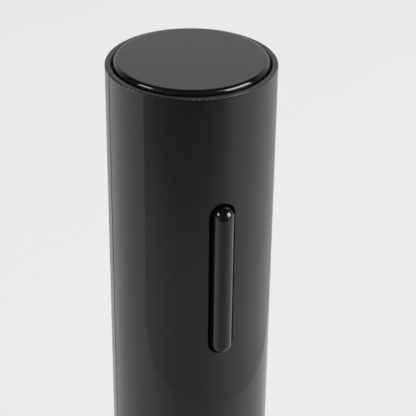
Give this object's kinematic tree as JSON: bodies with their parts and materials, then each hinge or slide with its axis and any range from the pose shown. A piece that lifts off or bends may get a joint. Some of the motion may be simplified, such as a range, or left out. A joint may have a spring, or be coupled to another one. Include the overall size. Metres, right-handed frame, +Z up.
{
  "type": "electric wine opener",
  "caption": "Slim upright cordless corkscrew: half shells with a long rocker button and gloss top disc, geared motor, and a clear sleeve round the worm.",
  "frame": {"origin": "centre of the open bottom end, on the table", "axes": "+Z up along the body to the gloss disc, -Y is the front with the rocker button, +X to the right seen from the front"},
  "size_m": [0.046, 0.0481, 0.2225],
  "materials": {
    "shell_black": "satin, soft-touch",
    "gloss_black": "piano gloss",
    "collar_black": "fine moulded texture",
    "smoked_clear": "clear polycarbonate, smoke tint",
    "worm_coating": "non-stick coating",
    "black_nylon": "moulded nylon",
    "gear_acetal": "natural acetal",
    "sintered_steel": "sintered",
    "bright_steel": "ground",
    "screw_steel": "zinc plated",
    "bronze": "sintered bronze",
    "motor_steel": "zinc plated, drawn",
    "lamination": "stacked silicon steel",
    "magnet_ferrite": "sintered ferrite",
    "copper": "enamelled copper",
    "tinned_brass": "tinned strip",
    "board_green": "glass-epoxy with solder mask",
    "part_black": "moulded epoxy",
    "socket_steel": "nickel plated",
    "cell_wrap": "shrink sleeve",
    "light_white": "frosted",
    "lead_red": "silicone insulation"
  },
  "bodies": {
    "housing": {"neck_guide": "collar_black", "clear_sleeve": "smoked_clear", "sleeve_screws": "screw_steel", "gearbox_base": "black_nylon", "output_bush": "bronze", "thrust_washer": "bright_steel", "ring_gear": "gear_acetal", "motor_plate": "sintered_steel", "motor_screws": "screw_steel", "gearbox_screws": "screw_steel", "shell_screws": "screw_steel", "motor_can": "motor_steel", "motor_bush": "bronze", "motor_magnets": "magnet_ferrite", "motor_end_bell": "black_nylon", "motor_terminals": "tinned_brass", "motor_brushes": "magnet_ferrite", "front_shell": "shell_black", "rear_shell": "shell_black", "cap_plate": "black_nylon", "cap_screws": "screw_steel", "top_disc": "gloss_black", "pivot_bracket": "black_nylon", "pivot_pin": "bright_steel", "control_board": "board_green", "eject_switch": "part_black", "open_switch": "part_black", "board_chips": "part_black", "battery_cell": "cell_wrap", "cell_tabs": "tinned_brass", "charge_board": "board_green", "usb_socket": "socket_steel", "usb_tongue": "part_black", "charge_light": "light_white", "light_pipe": "light_white", "motor_leads": "lead_red"},
    "rocker": {"rocker_button": "gloss_black"},
    "rotor": {"motor_shaft": "bright_steel", "armature_core": "lamination", "armature_windings": "copper", "commutator": "copper", "motor_pinion": "bronze"},
    "upper_stage": {"upper_carrier": "gear_acetal", "upper_planet_pins": "bright_steel"},
    "worm_drive": {"lower_carrier": "sintered_steel", "lower_planet_pins": "bright_steel", "output_spindle": "bright_steel", "spindle_clip": "bright_steel", "worm_hub": "black_nylon", "hub_pin": "bright_steel", "corkscrew": "worm_coating"},
    "upper_planet_a": {"upper_planet_a": "gear_acetal"},
    "upper_planet_b": {"upper_planet_b": "gear_acetal"},
    "upper_planet_c": {"upper_planet_c": "gear_acetal"},
    "lower_planet_a": {"lower_planet_a": "gear_acetal"},
    "lower_planet_b": {"lower_planet_b": "gear_acetal"},
    "lower_planet_c": {"lower_planet_c": "gear_acetal"}
  },
  "joints": [
    {"name": "rocker_tilt", "type": "hinge", "parent": "housing", "child": "rocker", "pos_m": [0, -0.01779, 0.16555], "axis": [1, 0, 0], "range_deg": [-1.5, 1.5], "stiffness_Nm_per_rad": 1},
    {"name": "motor_spin", "type": "hinge", "parent": "housing", "child": "rotor", "pos_m": [0, 0, 0.128], "axis": [0, 0, 1], "continuous": true},
    {"name": "upper_stage_spin", "type": "hinge", "parent": "housing", "child": "upper_stage", "pos_m": [0, 0, 0.099], "axis": [0, 0, 1], "continuous": true},
    {"name": "worm_spin", "type": "hinge", "parent": "housing", "child": "worm_drive", "pos_m": [0, 0, 0.07], "axis": [0, 0, 1], "continuous": true},
    {"name": "upper_planet_a_spin", "type": "hinge", "parent": "upper_stage", "child": "upper_planet_a", "pos_m": [0, 0.0081, 0.1], "axis": [0, 0, 1], "continuous": true},
    {"name": "upper_planet_b_spin", "type": "hinge", "parent": "upper_stage", "child": "upper_planet_b", "pos_m": [-0.00701, -0.00405, 0.1], "axis": [0, 0, 1], "continuous": true},
    {"name": "upper_planet_c_spin", "type": "hinge", "parent": "upper_stage", "child": "upper_planet_c", "pos_m": [0.00701, -0.00405, 0.1], "axis": [0, 0, 1], "continuous": true},
    {"name": "lower_planet_a_spin", "type": "hinge", "parent": "worm_drive", "child": "lower_planet_a", "pos_m": [0, 0.0081, 0.093], "axis": [0, 0, 1], "continuous": true},
    {"name": "lower_planet_b_spin", "type": "hinge", "parent": "worm_drive", "child": "lower_planet_b", "pos_m": [-0.00701, -0.00405, 0.093], "axis": [0, 0, 1], "continuous": true},
    {"name": "lower_planet_c_spin", "type": "hinge", "parent": "worm_drive", "child": "lower_planet_c", "pos_m": [0.00701, -0.00405, 0.093], "axis": [0, 0, 1], "continuous": true}
  ],
  "couplings": [
    {"joint": "upper_stage_spin", "follows": "motor_spin", "ratio": 0.16667},
    {"joint": "worm_spin", "follows": "motor_spin", "ratio": 0.027778},
    {"joint": "upper_planet_a_spin", "follows": "motor_spin", "ratio": -0.41667},
    {"joint": "upper_planet_b_spin", "follows": "motor_spin", "ratio": -0.41667},
    {"joint": "upper_planet_c_spin", "follows": "motor_spin", "ratio": -0.41667},
    {"joint": "lower_planet_a_spin", "follows": "motor_spin", "ratio": -0.069444},
    {"joint": "lower_planet_b_spin", "follows": "motor_spin", "ratio": -0.069444},
    {"joint": "lower_planet_c_spin", "follows": "motor_spin", "ratio": -0.069444}
  ]
}
